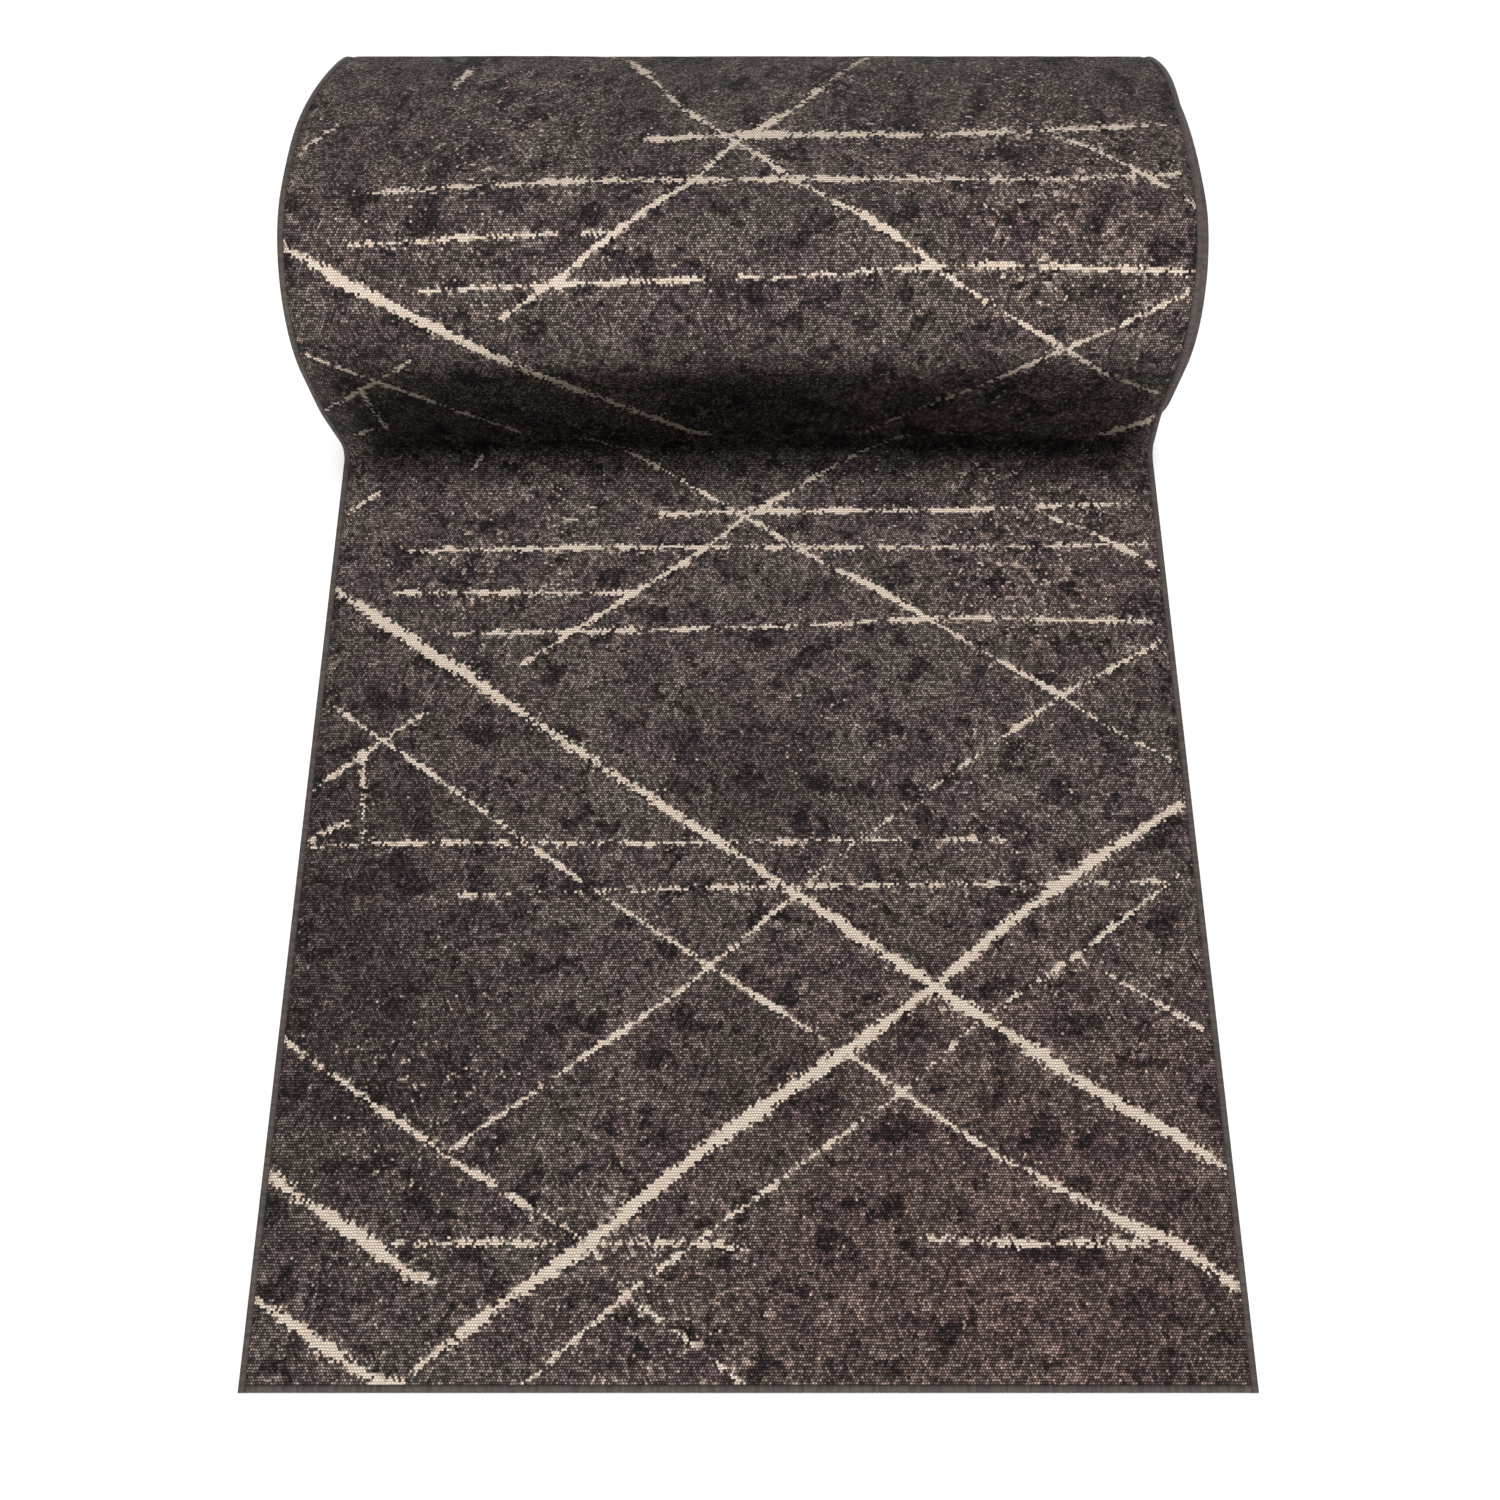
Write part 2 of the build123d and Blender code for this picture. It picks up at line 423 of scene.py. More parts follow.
# Lines of the pattern. Each is (kind, raggedness, points). Raggedness is how far a line's edge moves
# from loop to loop and over a longer stretch, in mm. A point is (place across the rug in cm, place
# along the design in cm, half width in mm). Lines that run along the rug swap the first two.
SOLID, BROKEN, FAINT = (6.5, 8.5), (4.2, 9.0), (4.8, 11.0)
LINES = [
    ("across", SOLID, [(-44.5, 79, 4), (-38, 74.5, 7), (-29, 68.5, 7.5), (-24, 65, 4.5), (-11, 56, 4),
                       (4.5, 45.5, 5), (18, 36, 6), (33, 26, 7), (39, 22.5, 6.5), (44.5, 19, 4)]),
    ("across", SOLID, [(44.5, 55, 5), (35, 49, 6.5), (24.5, 41.5, 5.5), (18, 36, 5.5), (9.5, 30, 7),
                       (-4.5, 20.5, 8), (-14.5, 12.5, 7.5), (-24, 6, 5), (-30, 1.5, 3.5)]),
    ("across", SOLID, [(-44.5, 18.5, 5), (-38, 14.5, 6.5), (-33, 11.5, 6.5), (-30, 9.5, 4), (-28, 9, 3)]),
    ("across", SOLID, [(-44.5, 8, 4), (-38, 4, 6.5), (-33, 1, 5.5), (-30, 0.5, 4)]),
    ("across", SOLID, [(23.5, 20, 2), (35, 14, 5), (39, 12.5, 6.5), (44.5, 8.5, 5)]),
    ("across", BROKEN, [(-44, 66, 0.5), (-37.5, 61.5, 2), (-16.5, 46.5, 2), (-4.5, 38.5, 2.5),
                        (9.5, 29.5, 2), (14.5, 26, 2), (23.5, 20, 3)]),
    ("across", BROKEN, [(-19, 100, 1.5), (-6.5, 91.7, 2.2), (0, 87.5, 3), (9, 81.5, 2), (12, 80, 4.5),
                        (14.5, 78.5, 4), (17, 76.8, 1.8), (32.5, 66.5, 3), (37, 63, 0.5), (44, 59, 2)]),
    ("across", BROKEN, [(19, 100.5, 1), (9, 93.8, 1.8), (4, 90.4, 2.5), (0, 88, 3), (-5, 83.5, 2.5),
                        (-13.5, 77.5, 3), (-24, 70, 2)]),
    ("across", BROKEN, [(-10, 88, 2), (0, 88.5, 3), (20, 88.5, 1.5), (43, 89.5, 1.5)]),
    ("across", BROKEN, [(-36.5, 83.5, 1), (-15, 84, 2.2), (10, 84, 2.2), (30, 84, 0.5), (43.5, 84.5, 1.5)]),
    ("across", BROKEN, [(-38, 78.5, 1.5), (-11.5, 78.5, 2.2)]),
    ("across", BROKEN, [(-33.5, 73.5, 0.5), (-15, 74, 2.2), (5, 74.5, 1), (20, 75.5, 3), (25, 75.5, 1),
                        (43.5, 75, 2)]),
    ("across", FAINT, [(-44, 50, 0.5), (-38, 50.5, 1.5), (-10, 50.5, 1), (26, 51, 0.5)]),
    ("across", FAINT, [(-31.5, 45, 0), (0, 46, 1), (42, 46.5, 1)]),
    ("across", SOLID, [(-32.5, 12.5, 2), (-20, 12.5, 1.6), (-5, 12.5, 2), (0, 12, 1.5)]),
    ("across", SOLID, [(15.5, 13, 0), (25, 12.5, 2), (39, 12.5, 2.5)]),
    ("across", BROKEN, [(31, 88.5, 0.8), (36, 86.5, 1.5), (39.5, 84.5, 4), (42, 83, 3), (44.5, 81, 4)]),
    ("across", BROKEN, [(44, 73, 1.5), (32.5, 66.5, 2.5), (10, 50, 0.5), (5, 45.5, 1), (-6, 36, 2.5),
                        (-28, 20.5, 1.5)]),
    ("across", BROKEN, [(-44.5, 56, 2), (-37.5, 61.5, 2), (-33, 65, 1.5)]),
    ("across", FAINT, [(-44.5, 50.5, 1.5), (-40, 53, 1.5)]),
    ("along", FAINT, [(50, -38.5, 1), (60.5, -39.5, 1.5)]),
    ("across", BROKEN, [(44.5, 48.5, 1), (32, 39, 2), (22.5, 33, 1), (14.5, 26, 2.5), (5, 19.5, 2),
                        (-5.5, 12, 2), (-10.5, 8.5, 3), (-20, 0.5, 1.5)]),
    ("across", BROKEN, [(32, 39, 1), (38.5, 35, 2), (44, 31.5, 2)]),
    ("across", FAINT, [(-44.5, 31, 1.5), (-28.5, 20.5, 3), (-14.5, 12.5, 1.5), (-11.5, 8.5, 1),
                       (0, 0.5, 1)]),
    ("across", FAINT, [(-44, 88, 1.5), (-40.5, 91, 2)]),
    ("along", FAINT, [(93.5, -30.5, 1), (96, -29.5, 1.5)]),
]

# Worn patches, where single loops of cream show. Each is (centre across, centre along, reach,
# amount), the first three in cm.
WORN = [(30, 84, 16, 2.0), (29, 78, 8, 1.2), (40, 72, 9, 0.9), (27, 55, 14, 1.0), (40, 35, 9, 0.8),
        (-30, 26, 14, 1.3), (-36, 20, 8, 0.8), (-8, 4, 16, 1.3), (-14, 16, 12, 1.0), (-34, 5, 10, 0.6),
        (-22, 86, 14, 1.0), (-33, 82, 10, 1.0), (10, 64, 12, 0.4), (32, 30, 12, 0.6), (-30, 74, 9, 0.6),
        (14, 36, 9, 0.5), (14, 93.5, 10, 0.8), (-20, 92.5, 10, 0.8), (27, 92, 8, 1.2)]

# Darker stretches of the ground, given the same way. Those from 90 cm along on are painted shade on the
# roll's top, and also darken the flat part before the crease.
DARKER_AND_PAINTED_SHADE = [(-44, 32, 32, 0.55), (-40, 56, 24, 0.4), (-30, 28, 18, 0.25), (1, 58, 13, 0.6), (1, 28, 12, 0.35),
          (40, 6, 12, 0.25), (16, 90, 8, 0.25), (30, 93, 10, 0.4), (-10, 94, 12, 0.3), (-36, 94, 10, 0.2),
          (-32, 80, 16, 0.2), (16, 98, 12, 0.2), (42, 96, 9, 0.3)]

# Redder stretches of the ground, given the same way.
REDDER = [(26, 8, 60, 1.0), (34, 82, 24, 0.4)]

# On the roll the design is drawn forward or back along it. Each is (place along, how far), in cm.
DRAWN = [(64, 0), (73, 1.4), (83, 1.0), (86, 0), (89.5, -1), (95, -3.2), (101, -7.2), (110, -13.5)]


def curve_node(tree, x, points):
    """A node that gives a value for x along straight runs between points, all from 0 to 1."""
    made = add(tree, "ShaderNodeFloatCurve", i1=x)
    curve = made.mapping.curves[0]
    made.mapping.use_clip = False
    curve.points[0].location = points[0]
    curve.points[1].location = points[-1]
    for place, value in points[1:-1]:
        curve.points.new(place, value)
    for point in curve.points:
        point.handle_type = "VECTOR"
    made.mapping.update()
    return made.outputs[0]


SPAN = 1.2  # metres along the design that the curves cover
FIELD = 1.0  # metres across the rug that the curves cover
WIDTH_RANGE = 0.02  # half widths from -20 mm to 20 mm fill the curves' 0 to 1


def line_score(tree, across, along, kind, points):
    """How far inside a line a loop is, in metres, and less than 0 outside it."""
    guide, other = (across, along) if kind == "across" else (along, across)
    guide_from, guide_span = (-FIELD / 2, FIELD) if kind == "across" else (0.0, SPAN)
    other_from, other_span = (0.0, SPAN) if kind == "across" else (-FIELD / 2, FIELD)
    run = sorted((a / 100, b / 100, w * MM) for a, b, w in points)
    share = [((a - guide_from) / guide_span, (b - other_from) / other_span) for a, b, w in run]
    end = 0.004
    ends = [(0.0, share[0][1])] + share + [(1.0, share[-1][1])]
    wide = [(s[0], 0.5 + r[2] / (2 * WIDTH_RANGE)) for s, r in zip(share, run)]
    outside = [(0.0, 0.0), (wide[0][0] - end, 0.0)] + wide + [(wide[-1][0] + end, 0.0), (1.0, 0.0)]
    place = sum_of(tree, guide, 1 / guide_span, "MULTIPLY_ADD", -guide_from / guide_span)
    middle = curve_node(tree, place, ends)
    half = curve_node(tree, place, outside)
    centre = sum_of(tree, middle, other_span, "MULTIPLY_ADD", other_from)
    away = sum_of(tree, sum_of(tree, other, centre, "SUBTRACT"), 0.0, "ABSOLUTE")
    half = sum_of(tree, half, 2 * WIDTH_RANGE, "MULTIPLY_ADD", -WIDTH_RANGE)
    return sum_of(tree, half, away, "SUBTRACT")


def spots(tree, place, table):
    """How much of a table's spots there is at a place of the design, from 0 up."""
    near = []
    for across, along, reach, amount in table:
        centre = (across / 100, along / 100, 0)
        away = add(tree, "ShaderNodeVectorMath", {"operation": "DISTANCE"}, i0=place, i1=centre).outputs[1]
        near.append(level(tree, away, 0.0, reach / 100, amount, 0.0, "SMOOTHSTEP"))
    return gather(tree, near, "ADD")


def noise(tree, place, size_mm, detail=2.0, seed=0.0, stretch=(1, 1, 1)):
    """Noise with features of about this size, from 0 to 1."""
    moved = add(
        tree, "ShaderNodeMapping", {"vector_type": "POINT"},
        i0=place, i1=(seed, seed * 1.7, 0), i3=stretch,
    ).outputs[0]
    return add(
        tree, "ShaderNodeTexNoise", {"noise_dimensions": "3D"},
        i0=moved, Scale=1 / (size_mm * MM), Detail=detail, Roughness=0.55,
    ).outputs[0]


def blend(tree, share, first, second, kind="MIX"):
    """The colour between two, by a share."""
    made = tree.nodes.new("ShaderNodeMix")
    made.data_type = "RGBA"
    made.blend_type = kind
    sockets = [made.inputs[0], made.inputs[6], made.inputs[7]]
    for socket, value in zip(sockets, (share, first, second)):
        if isinstance(value, bpy.types.NodeSocket):
            tree.links.new(value, socket)
        else:
            socket.default_value = value
    return made.outputs[2]


def level(tree, value, low, high, to_low=0.0, to_high=1.0, kind="LINEAR"):
    """A value between two levels, as a share between two others."""
    return add(
        tree, "ShaderNodeMapRange", {"interpolation_type": kind},
        i0=value, i1=low, i2=high, i3=to_low, i4=to_high,
    ).outputs[0]


def loop_cells(tree, uv):
    """Where a point is among the loops, and the corner of the loop that it is on. The loops of one
    row stand between those of the next, and not in perfectly straight rows."""
    gauge = sizes().gauge
    wobble, reach = 1.8 * MM, 6 * MM
    astray = add(tree, "ShaderNodeTexNoise", i0=uv, Scale=1 / reach, Detail=1.0).outputs[1]
    astray = vector_sum(tree, astray, (wobble, wobble, 0), "MULTIPLY_ADD", uv)
    row = sum_of(tree, axis(tree, astray, 1), 2 * gauge, "WRAP", 0.0)
    aside = sum_of(tree, sum_of(tree, row, gauge, "GREATER_THAN"), gauge / 2, "MULTIPLY")
    astray = vector_sum(tree, astray, add(tree, "ShaderNodeCombineXYZ", i0=aside).outputs[0])
    return astray, vector_sum(tree, astray, (gauge, gauge, 1), "SNAP")


def design_place(tree, cell):
    """A loop's place in the design: across, along, and the two as a vector. The pattern is woven, so
    it changes only from loop to loop. Past the crease it starts afresh from a little way back."""
    across = axis(tree, cell, 0)
    raw = axis(tree, cell, 1)
    repeat, fresh, lag = 1.0, 0.995, 0.478
    past = sum_of(tree, raw, fresh, "GREATER_THAN")
    moved = sum_of(tree, past, -lag, "MULTIPLY_ADD", raw)
    drawn_range = 0.4
    drawn = [(at / 100 / SPAN, 0.5 + shift / 100 / drawn_range) for at, shift in DRAWN]
    drawn = [(0.0, 0.5)] + drawn + [(1.0, drawn[-1][1])]
    shift = sum_of(tree, curve_node(tree, sum_of(tree, moved, 1 / SPAN, "MULTIPLY"), drawn), -0.5)
    # It also sags towards the roll's left end, above the lower part of the front wall.
    sag_from, sag_to, sag = 0.66, 0.76, 0.09
    left = sum_of(tree, sum_of(tree, across, 0.0, "MINIMUM"), 2.0, "POWER")
    sagging = sum_of(tree, left, level(tree, moved, sag_from, sag_to, 0.0, sag), "MULTIPLY")
    shift = sum_of(tree, shift, drawn_range, "MULTIPLY_ADD", sagging)
    moved = sum_of(tree, shift, past, "MULTIPLY_ADD", moved)
    along = sum_of(tree, moved, repeat, "WRAP", 0.0)
    return across, along, add(tree, "ShaderNodeCombineXYZ", i0=across, i1=along).outputs[0]


def line_scores(tree, across, along):
    """How far inside a line of each raggedness a loop is, in metres."""
    best = {}
    for kind, ragged, points in LINES:
        score = line_score(tree, across, along, kind, points)
        best[ragged] = sum_of(tree, best[ragged], score, "MAXIMUM") if ragged in best else score
    return best


def line_cream(tree, scores, cell, place, chance):
    """How far a loop has the cream of a line. A line's edge is ragged from loop to loop, and it has
    longer thick and thin stretches."""
    scatter = sum_of(tree, chance, -0.5)
    wander = sum_of(tree, noise(tree, cell, 14, 1.0, 3.1), noise(tree, place, 36, 1.0, 23.1))
    drift = sum_of(tree, wander, -1.0)
    shown = []
    for ragged, score in scores.items():
        noisy = sum_of(tree, scatter, ragged[0] * MM, "MULTIPLY_ADD", score)
        noisy = sum_of(tree, drift, ragged[1] * MM, "MULTIPLY_ADD", noisy)
        shown.append(level(tree, noisy, -0.6 * MM, 0.8 * MM))
    return gather(tree, shown, "MAXIMUM")


def stray_cream(tree, scores, cell, place, patchy, other):
    """How far a loop has the cream of the stray ones, which stand beside the lines, in the worn
    patches and in short streaks."""
    beside = [level(tree, score, -12 * MM, 0.0, 0.0, 0.12) for score in scores.values()]
    upright = noise(tree, place, 20, 2.0, 1.3, (4.0, 0.6, 1))
    sideways = noise(tree, place, 20, 2.0, 5.9, (0.6, 4.0, 1))
    streak = level(tree, sum_of(tree, upright, sideways, "MAXIMUM"), 0.58, 0.78)
    density = sum_of(tree, spots(tree, place, WORN), level(tree, patchy, 0.35, 0.75, 0.1, 1.0), "MULTIPLY")
    streaky = sum_of(tree, streak, 0.6, "MULTIPLY_ADD", 0.2)
    density = sum_of(tree, streaky, density, "MULTIPLY_ADD", gather(tree, beside, "MAXIMUM"))
    density = sum_of(tree, density, level(tree, streak, 0.0, 1.0, 0.02, 0.16))
    cluster = level(tree, noise(tree, cell, 8, 1.0, 61.3), 0.56, 0.72, 0.25, 3.4)
    density = sum_of(tree, density, cluster, "MULTIPLY")
    stray = level(tree, sum_of(tree, density, other, "SUBTRACT"), 0.0, 0.05, 0.0, 0.85)
    faded = level(tree, noise(tree, cell, 7, 1.0, 71.9), 0.4, 0.65, 0.3, 1.0)
    return sum_of(tree, stray, faded, "MULTIPLY")


def ground_colour(tree, cell, place, patchy, chance):
    """The ground drifts between charcoal brown, plum and olive, with ragged dark blotches and paler
    clusters of loops in it, and each loop has its own tone."""
    tint = colours()
    ground = blend(tree, level(tree, patchy, 0.4, 0.6), linear(tint.plum), linear(tint.ground))
    olive = noise(tree, place, 90, 1.0, 11.3)
    ground = blend(tree, level(tree, olive, 0.48, 0.62, 0.0, 0.5), ground, linear(tint.olive))
    crumb = noise(tree, cell, 9, 3.0, 31.7)
    blotch = sum_of(tree, crumb, 0.35, "MULTIPLY_ADD", noise(tree, place, 34, 4.0, 17.9))
    darkest = linear("#2B2225")
    ground = blend(tree, level(tree, blotch, 0.56, 0.64, 0.8, 0.0), ground, darkest)
    ground = blend(tree, level(tree, crumb, 0.44, 0.36, 0.0, 0.5), ground, darkest)
    pale = sum_of(tree, crumb, 0.6, "MULTIPLY_ADD", noise(tree, place, 22, 3.0, 41.3))
    ground = blend(tree, level(tree, pale, 0.86, 0.98, 0.0, 0.5), ground, linear("#A59489"))
    redder = (1.1, 0.97, 0.95, 1.0)
    ground = blend(tree, spots(tree, place, REDDER), ground, redder, "MULTIPLY")
    # Darker stretches, in part painted shade: those from 90 cm along darken the roll's top.
    ground = blend(tree, spots(tree, place, DARKER_AND_PAINTED_SHADE), ground, linear("#3A3030"))
    tone = level(tree, sum_of(tree, chance, 2.0, "POWER"), 0.0, 1.0, 0.42, 2.3)
    return blend(tree, 1.0, ground, tone, "MULTIPLY")


def cream_colour(tree, chance, other):
    """Cream yarn, which is a little pinker or paler from loop to loop."""
    cream = blend(tree, chance, linear(colours().cream), linear("#DCC2AE"))
    return blend(tree, level(tree, other, 0.0, 1.0, 0.0, 0.6), cream, linear("#FBF0DF"))


def loop_crown(tree, astray):
    """How near a point is to the crown of its loop, from 0 in the gaps round it to 1."""
    gauge = sizes().gauge
    inside = vector_sum(tree, astray, (gauge, gauge, 1), "DIVIDE")
    inside = vector_sum(tree, inside, (0, 0, 0), "FRACTION")
    swells = []
    for number in (0, 1):
        turn = sum_of(tree, axis(tree, inside, number), math.pi, "MULTIPLY")
        swells.append(sum_of(tree, turn, 0.0, "SINE"))
    return sum_of(tree, gather(tree, swells, "MULTIPLY"), 0.8, "POWER")


def pile_material():
    """Heat-set polypropylene loop pile, woven in charcoal brown with cream lines. It is matt, and each loop
    is a small dome in the bump, with a painted highlight on its crown and painted shade down in the gaps
    round it."""
    made, tree, shader = new_material("looped polypropylene pile")
    uv = add(tree, "ShaderNodeUVMap", {"uv_map": "Rug"}).outputs[0]
    astray, cell = loop_cells(tree, uv)
    across, along, place = design_place(tree, cell)
    # Two chances of each loop's own, from 0 to 1, and a patchiness of some 45 mm.
    chance = add(tree, "ShaderNodeTexWhiteNoise", {"noise_dimensions": "2D"}, i0=cell).outputs[0]
    lifted = vector_sum(tree, cell, (0, 0, 0.37))
    other = add(tree, "ShaderNodeTexWhiteNoise", {"noise_dimensions": "3D"}, i0=lifted).outputs[0]
    patchy = noise(tree, cell, 45, 4.0, 7.7)

    scores = line_scores(tree, across, along)
    line = line_cream(tree, scores, cell, place, chance)
    stray = stray_cream(tree, scores, cell, place, patchy, other)
    cream = sum_of(tree, line, stray, "MAXIMUM")
    ground = ground_colour(tree, cell, place, patchy, chance)
    colour = blend(tree, cream, ground, cream_colour(tree, chance, other))
    crown = loop_crown(tree, astray)
    # Painted shade and highlight: the colour darkens down in the gaps round each loop, less on cream loops,
    # and is a little paler on each crown.
    gap = level(tree, crown, 0.1, 0.85, level(tree, cream, 0.0, 1.0, 0.08, 0.6), 1.12)
    tree.links.new(blend(tree, 1.0, colour, gap, "MULTIPLY"), shader.inputs["Base Color"])

    uneven = sum_of(tree, level(tree, other, 0.0, 1.0, 0.7, 1.0), crown, "MULTIPLY")
    fibre = noise(tree, uv, 0.5, 2.0, 2.3)
    height = sum_of(tree, fibre, 0.25, "MULTIPLY_ADD", uneven)
    bump = add(tree, "ShaderNodeBump", Strength=0.8, Distance=1.4 * MM, Height=height)
    tree.links.new(bump.outputs[0], shader.inputs["Normal"])
    shader.inputs["Roughness"].default_value = 0.9
    shader.inputs["Specular IOR Level"].default_value = 0.12
    shader.inputs["Sheen Weight"].default_value = 0.02
    shader.inputs["Sheen Roughness"].default_value = 0.5
    return made


def serging_material():
    """Twisted polyester yarn wrapped over the edge. It is dark and matt with a slight sheen, and the plies
    of each wrap show as fine slanting lines, in the bump and as a painted highlight along each ply."""
    made, tree, shader = new_material("twisted polyester serging yarn")
    uv = add(tree, "ShaderNodeUVMap", {"uv_map": "Rug"}).outputs[0]
    ply = add(
        tree, "ShaderNodeTexWave", {"bands_direction": "DIAGONAL"},
        i0=uv, Scale=1 / (3 * 1.3 * MM), Distortion=1.5, Detail=1.0,
    ).outputs[1]
    sides = add(tree, "ShaderNodeSeparateXYZ", i0=uv)
    turn = sum_of(tree, sides.outputs[1], sizes().wrap, "SNAP")
    wrap = add(tree, "ShaderNodeTexWhiteNoise", {"noise_dimensions": "1D"}, W=turn).outputs[0]
    fade = noise(tree, uv, 30, 3.0)
    colour = blend(tree, level(tree, fade, 0.3, 0.7), linear("#2C2523"), linear(colours().serging))
    # Painted light and shade: the yarn is coloured paler on top of the edge than down its side.
    top_end, side_start = 6.5 * MM, 9.5 * MM
    painted_top_light = level(tree, sides.outputs[0], top_end, side_start, 0.8, 0.0)
    colour = blend(tree, painted_top_light, colour, linear("#4C423D"))
    colour = blend(tree, 1.0, colour, level(tree, wrap, 0.0, 1.0, 0.6, 1.5), "MULTIPLY")
    # Painted highlight: the colour is paler along the raised crest of each ply.
    colour = blend(tree, level(tree, ply, 0.0, 1.0, 0.0, 0.45), colour, linear("#4C443F"))
    tree.links.new(colour, shader.inputs["Base Color"])
    bump = add(tree, "ShaderNodeBump", Strength=0.5, Distance=0.4 * MM, Height=ply)
    tree.links.new(bump.outputs[0], shader.inputs["Normal"])
    shader.inputs["Roughness"].default_value = 0.75
    shader.inputs["Sheen Weight"].default_value = 0.1
    return made


def felt_material():
    """Needled recycled-fibre felt. It is grey and matt, with tangled fibres and a field of small
    needle dimples, and single dark and light fibres show in it."""
    made, tree, shader = new_material("needled felt backing")
    uv = add(tree, "ShaderNodeUVMap", {"uv_map": "Rug"}).outputs[0]
    tangle = noise(tree, uv, 2.5, 6.0)
    cloud = noise(tree, uv, 60, 3.0, 4.0)
    fibres = noise(tree, uv, 6, 5.0, 9.0, (5.0, 0.7, 1))
    dimples = add(
        tree, "ShaderNodeTexVoronoi", {"feature": "F1"}, i0=uv, Scale=1 / (3.2 * MM), Randomness=0.6
    ).outputs[0]
    colour = blend(tree, level(tree, cloud, 0.3, 0.7), linear("#7A756D"), linear(colours().felt))
    colour = blend(tree, level(tree, tangle, 0.35, 0.7, 0.0, 0.7), colour, linear("#A39D92"))
    colour = blend(tree, level(tree, fibres, 0.6, 0.72, 0.0, 0.6), colour, linear("#4B4742"))
    # Painted shade: each needle dimple is darker towards its middle, where it is deepest.
    colour = blend(tree, level(tree, dimples, 0.0, 0.25, 0.5, 0.0), colour, linear("#57534D"))
    tree.links.new(colour, shader.inputs["Base Color"])
    height = sum_of(tree, level(tree, dimples, 0.0, 0.4), 0.6, "MULTIPLY_ADD", tangle)
    bump = add(tree, "ShaderNodeBump", Strength=0.7, Distance=0.5 * MM, Height=height)
    tree.links.new(bump.outputs[0], shader.inputs["Normal"])
    shader.inputs["Roughness"].default_value = 0.95
    return made


def latex_material():
    """Foamed latex, spread wet and cured. It is a dull cream with small bubbles and a faint skin."""
    made, tree, shader = new_material("cured latex coat")
    place = add(tree, "ShaderNodeUVMap", {"uv_map": "Rug"}).outputs[0]
    bubbles = add(tree, "ShaderNodeTexVoronoi", {"feature": "F1"}, i0=place, Scale=1 / (1.2 * MM)).outputs[0]
    cloud = noise(tree, place, 25, 3.0)
    colour = blend(tree, level(tree, cloud, 0.3, 0.7), linear("#B3AB95"), linear(colours().latex))
    tree.links.new(colour, shader.inputs["Base Color"])
    bump = add(tree, "ShaderNodeBump", Strength=0.4, Distance=0.2 * MM, Height=bubbles)
    tree.links.new(bump.outputs[0], shader.inputs["Normal"])
    shader.inputs["Roughness"].default_value = 0.65
    shader.inputs["IOR"].default_value = 1.52
    return made


def weave_material():
    """Woven polypropylene tape, plain weave. It is grey-brown with a slight gloss on each tape."""
    made, tree, shader = new_material("woven polypropylene tape")
    place = add(tree, "ShaderNodeUVMap", {"uv_map": "Rug"}).outputs[0]
    tapes = add(
        tree, "ShaderNodeTexBrick", {"offset": 0.5},
        i0=place, i1=linear(colours().weave), i2=linear("#686157"), i3=linear("#3E3A34"),
        Scale=1 / (2.4 * MM), Mortar_Size=0.06,
    )
    tree.links.new(tapes.outputs[0], shader.inputs["Base Color"])
    bump = add(tree, "ShaderNodeBump", Strength=0.4, Distance=0.2 * MM, Height=tapes.outputs[1])
    tree.links.new(bump.outputs[0], shader.inputs["Normal"])
    shader.inputs["Roughness"].default_value = 0.5
    return made


def floor_material():
    """Matt white paint on a smooth studio floor, with hardly any grain."""
    made, tree, shader = new_material("matt white studio floor")
    place = add(tree, "ShaderNodeTexCoord").outputs[3]
    grain = noise(tree, place, 40, 2.0)
    colour = blend(tree, grain, linear("#F7F7F6"), linear("#FBFBFA"))
    tree.links.new(colour, shader.inputs["Base Color"])
    shader.inputs["Roughness"].default_value = 0.9
    return made


def flag_material():
    """Black duvetyn, the brushed cotton of a studio flag, which returns hardly any light."""
    made, tree, shader = new_material("black duvetyn")
    nap = noise(tree, add(tree, "ShaderNodeTexCoord").outputs[3], 2)
    tree.links.new(blend(tree, nap, linear("#0C0C0C"), linear("#121212")), shader.inputs["Base Color"])
    shader.inputs["Roughness"].default_value = 1.0
    return made


# --- Pieces -----------------------------------------------------------------------------------


def finish_piece(made, material, slot, *nodes):
    """Gives a piece its material and ties it to the frame."""
    made.data.materials.append(material)
    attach(made, "root")
    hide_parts(*nodes)
    return made


